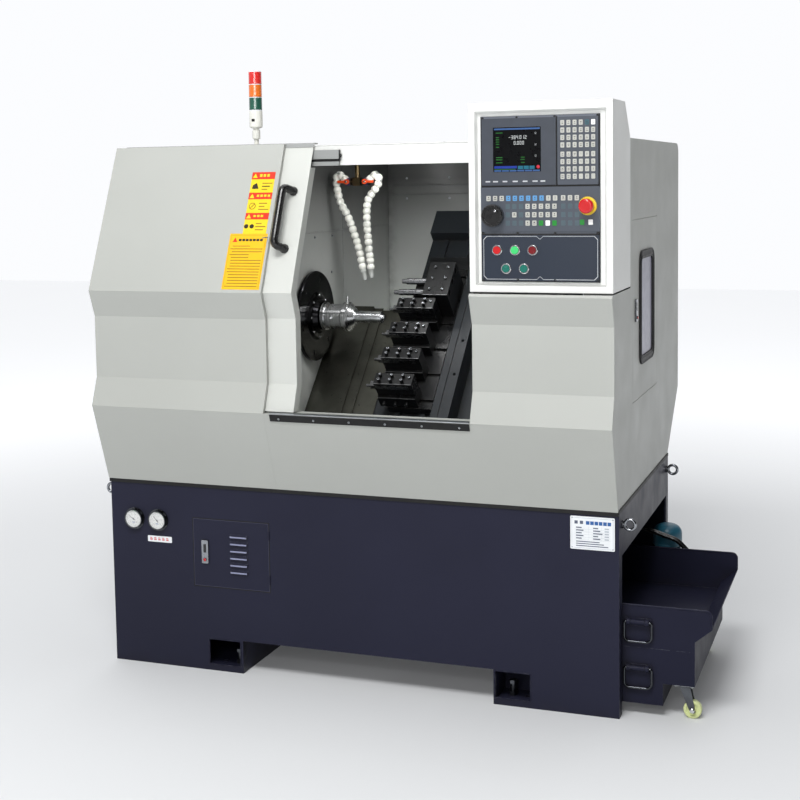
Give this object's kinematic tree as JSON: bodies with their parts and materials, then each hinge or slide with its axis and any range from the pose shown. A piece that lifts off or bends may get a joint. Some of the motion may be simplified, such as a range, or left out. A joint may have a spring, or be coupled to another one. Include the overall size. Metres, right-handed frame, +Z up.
{
  "type": "cnc turning lathe",
  "caption": "Slant-bed turning lathe with a collet chuck, gang tool table, sliding front door, raised control panel, signal tower and a wheeled chip cart under its base.",
  "frame": {"origin": "centre of the rectangle of four anchor holes, on the floor", "axes": "+X along the spindle from the headstock to the control cabinet and the machine's longest side, +Y from the operator's side to the back, +Z up"},
  "size_m": [1.887, 1.161, 1.834],
  "materials": {
    "navy_paint": "dark navy satin enamel, light orange peel",
    "white_paint": "warm white satin enamel",
    "pump_paint": "teal enamel",
    "galvanised": "dull zinc plate",
    "chrome": "polished",
    "ground_steel": "turned and ground",
    "steel": "machined",
    "cast_iron": "scraped and oiled",
    "black_oxide": "black oxide",
    "black_gloss": "glossy black enamel",
    "way_steel": "oily dark spring steel",
    "liner_paint": "light grey enamel",
    "saddle_paint": "slate enamel",
    "brass": "dull",
    "lever_plastic": "orange red",
    "hose_plastic": "moulded acetal",
    "hose_rubber": "smooth black hose",
    "window_glass": "clear safety pane",
    "gasket_rubber": "moulded black rubber",
    "panel_paint": "slate satin",
    "lcd_plastic": "black bezel with a lit screen",
    "key_plastic": "film-covered keys",
    "red_plastic": "red button",
    "dark_red_plastic": "dark red button",
    "green_plastic": "lit green button",
    "teal_plastic": "teal button",
    "black_plastic": "moulded black",
    "tower_plastic": "white stack with red, amber and green lenses",
    "gauge_metal": "chromed case, white dial",
    "wheel_rubber": "pale yellow polyurethane",
    "bright_steel": "freshly turned"
  },
  "bodies": {
    "frame": {"base_frame": "navy_paint", "levelling_bolts": "galvanised", "eye_bolts": "black_oxide", "gauge_cases": "gauge_metal", "left_cover": "white_paint", "right_cover": "white_paint", "back_cover": "white_paint", "roof_panel": "white_paint", "door_rail": "white_paint", "chamber_liner": "liner_paint", "headstock": "cast_iron", "spindle_bearings": "ground_steel", "slant_bed": "cast_iron", "fixed_way_cover": "way_steel", "coolant_manifold": "brass", "coolant_hoses": "hose_plastic", "control_cabinet": "white_paint", "control_panel": "panel_paint", "lcd_unit": "lcd_plastic", "keypad": "key_plastic", "signal_tower": "tower_plastic"},
    "door": {"door_panel": "white_paint", "door_window": "window_glass", "door_handle": "black_plastic"},
    "spindle": {"spindle_shaft": "steel", "chuck_flange": "black_gloss", "collet_nose": "chrome", "turned_sample": "bright_steel"},
    "saddle": {"z_saddle": "saddle_paint"},
    "way_plate_1": {"way_cover_1": "way_steel"},
    "way_plate_2": {"way_cover_2": "way_steel"},
    "table": {"tool_table": "black_oxide", "tool_blocks": "black_oxide", "tool_bits": "ground_steel"},
    "side_door": {"side_door": "white_paint", "side_window": "gasket_rubber"},
    "side_latch": {"side_latch": "chrome"},
    "access_door": {"access_door": "navy_paint"},
    "access_latch": {"access_latch": "chrome"},
    "handwheel": {"handwheel": "black_plastic"},
    "estop_button": {"estop_button": "red_plastic"},
    "stop_button": {"stop_button": "red_plastic"},
    "start_button": {"start_button": "green_plastic"},
    "power_off_button": {"power_off_button": "dark_red_plastic"},
    "pump_button": {"pump_button": "teal_plastic"},
    "light_button": {"light_button": "teal_plastic"},
    "valve_lever_1": {"valve_lever_1": "lever_plastic"},
    "valve_lever_2": {"valve_lever_2": "lever_plastic"},
    "cart": {"cart_tank": "navy_paint", "chip_tray": "navy_paint", "coolant_pump": "pump_paint", "pump_hose": "hose_rubber"},
    "tray_handle": {"tray_handle": "black_oxide"},
    "tank_handle": {"tank_handle": "black_oxide"},
    "caster_fork_front": {"caster_fork_front": "galvanised"},
    "caster_fork_rear": {"caster_fork_rear": "galvanised"},
    "outer_wheel_front": {"outer_wheel_front": "wheel_rubber"},
    "outer_wheel_rear": {"outer_wheel_rear": "wheel_rubber"},
    "inner_wheel_front": {"inner_wheel_front": "wheel_rubber"},
    "inner_wheel_rear": {"inner_wheel_rear": "wheel_rubber"}
  },
  "joints": [
    {"name": "door_slide", "type": "slide", "parent": "frame", "child": "door", "axis": [1, 0, 0], "range_m": [0, 0.538]},
    {"name": "spindle_spin", "type": "hinge", "parent": "frame", "child": "spindle", "pos_m": [-0.54, -0.115, 1.072], "axis": [1, 0, 0], "continuous": true},
    {"name": "z_slide", "type": "slide", "parent": "frame", "child": "saddle", "axis": [1, 0, 0], "range_m": [-0.08, 0.13]},
    {"name": "way_plate_1_slide", "type": "slide", "parent": "frame", "child": "way_plate_1", "axis": [1, 0, 0], "range_m": [-0.03, 0.045]},
    {"name": "way_plate_2_slide", "type": "slide", "parent": "frame", "child": "way_plate_2", "axis": [1, 0, 0], "range_m": [-0.056, 0.09]},
    {"name": "x_slide", "type": "slide", "parent": "saddle", "child": "table", "axis": [0, 0.7071, 0.7071], "range_m": [0, 0.098]},
    {"name": "side_door_hinge", "type": "hinge", "parent": "frame", "child": "side_door", "pos_m": [0.759, 0.207, 1.1], "axis": [0, 0, 1], "range_deg": [0, 110]},
    {"name": "side_latch_hinge", "type": "hinge", "parent": "side_door", "child": "side_latch", "pos_m": [0.761, -0.159, 1.144], "axis": [0, 1, 0], "range_deg": [-60, 0]},
    {"name": "access_door_hinge", "type": "hinge", "parent": "frame", "child": "access_door", "pos_m": [-0.299, -0.416, 0.368], "axis": [0, 0, 1], "range_deg": [0, 110]},
    {"name": "access_latch_hinge", "type": "hinge", "parent": "access_door", "child": "access_latch", "pos_m": [-0.514, -0.418, 0.408], "axis": [1, 0, 0], "range_deg": [-60, 0]},
    {"name": "handwheel_spin", "type": "hinge", "parent": "frame", "child": "handwheel", "pos_m": [0.429, -0.475, 1.396], "axis": [0, 1, 0], "continuous": true},
    {"name": "estop_travel", "type": "slide", "parent": "frame", "child": "estop_button", "axis": [0, 1, 0], "range_m": [0, 0.005]},
    {"name": "stop_travel", "type": "slide", "parent": "frame", "child": "stop_button", "axis": [0, 1, 0], "range_m": [0, 0.003], "stiffness_N_per_m": 300},
    {"name": "start_travel", "type": "slide", "parent": "frame", "child": "start_button", "axis": [0, 1, 0], "range_m": [0, 0.003], "stiffness_N_per_m": 300},
    {"name": "power_off_travel", "type": "slide", "parent": "frame", "child": "power_off_button", "axis": [0, 1, 0], "range_m": [0, 0.003], "stiffness_N_per_m": 300},
    {"name": "pump_travel", "type": "slide", "parent": "frame", "child": "pump_button", "axis": [0, 1, 0], "range_m": [0, 0.003], "stiffness_N_per_m": 300},
    {"name": "light_travel", "type": "slide", "parent": "frame", "child": "light_button", "axis": [0, 1, 0], "range_m": [0, 0.003], "stiffness_N_per_m": 300},
    {"name": "valve_lever_1_turn", "type": "hinge", "parent": "frame", "child": "valve_lever_1", "pos_m": [-0.19, -0.015, 1.492], "axis": [0, 1, 0], "range_deg": [-90, 0]},
    {"name": "valve_lever_2_turn", "type": "hinge", "parent": "frame", "child": "valve_lever_2", "pos_m": [-0.128, -0.015, 1.492], "axis": [0, 1, 0], "range_deg": [0, 90]},
    {"name": "cart_roll", "type": "slide", "parent": "frame", "child": "cart", "axis": [1, 0, 0], "range_m": [0, 0.6]},
    {"name": "tray_handle_swing", "type": "hinge", "parent": "cart", "child": "tray_handle", "pos_m": [0.804, -0.378, 0.268], "axis": [1, 0, 0], "range_deg": [-95, 0]},
    {"name": "tank_handle_swing", "type": "hinge", "parent": "cart", "child": "tank_handle", "pos_m": [0.804, -0.378, 0.137], "axis": [1, 0, 0], "range_deg": [-95, 0]},
    {"name": "caster_swivel_front", "type": "hinge", "parent": "cart", "child": "caster_fork_front", "pos_m": [0.928, -0.34, 0.09], "axis": [0, 0, 1], "continuous": true},
    {"name": "outer_wheel_roll_front", "type": "hinge", "parent": "caster_fork_front", "child": "outer_wheel_front", "pos_m": [0.95, -0.34, 0.025], "axis": [0, 1, 0], "continuous": true},
    {"name": "inner_wheel_roll_front", "type": "hinge", "parent": "cart", "child": "inner_wheel_front", "pos_m": [0.566, -0.34, 0.025], "axis": [0, 1, 0], "continuous": true},
    {"name": "caster_swivel_rear", "type": "hinge", "parent": "cart", "child": "caster_fork_rear", "pos_m": [0.928, 0.216, 0.09], "axis": [0, 0, 1], "continuous": true},
    {"name": "outer_wheel_roll_rear", "type": "hinge", "parent": "caster_fork_rear", "child": "outer_wheel_rear", "pos_m": [0.906, 0.216, 0.025], "axis": [0, 1, 0], "continuous": true},
    {"name": "inner_wheel_roll_rear", "type": "hinge", "parent": "cart", "child": "inner_wheel_rear", "pos_m": [0.566, 0.216, 0.025], "axis": [0, 1, 0], "continuous": true}
  ],
  "couplings": [
    {"joint": "way_plate_1_slide", "follows": "z_slide", "ratio": 0.33333},
    {"joint": "way_plate_2_slide", "follows": "z_slide", "ratio": 0.66667}
  ]
}
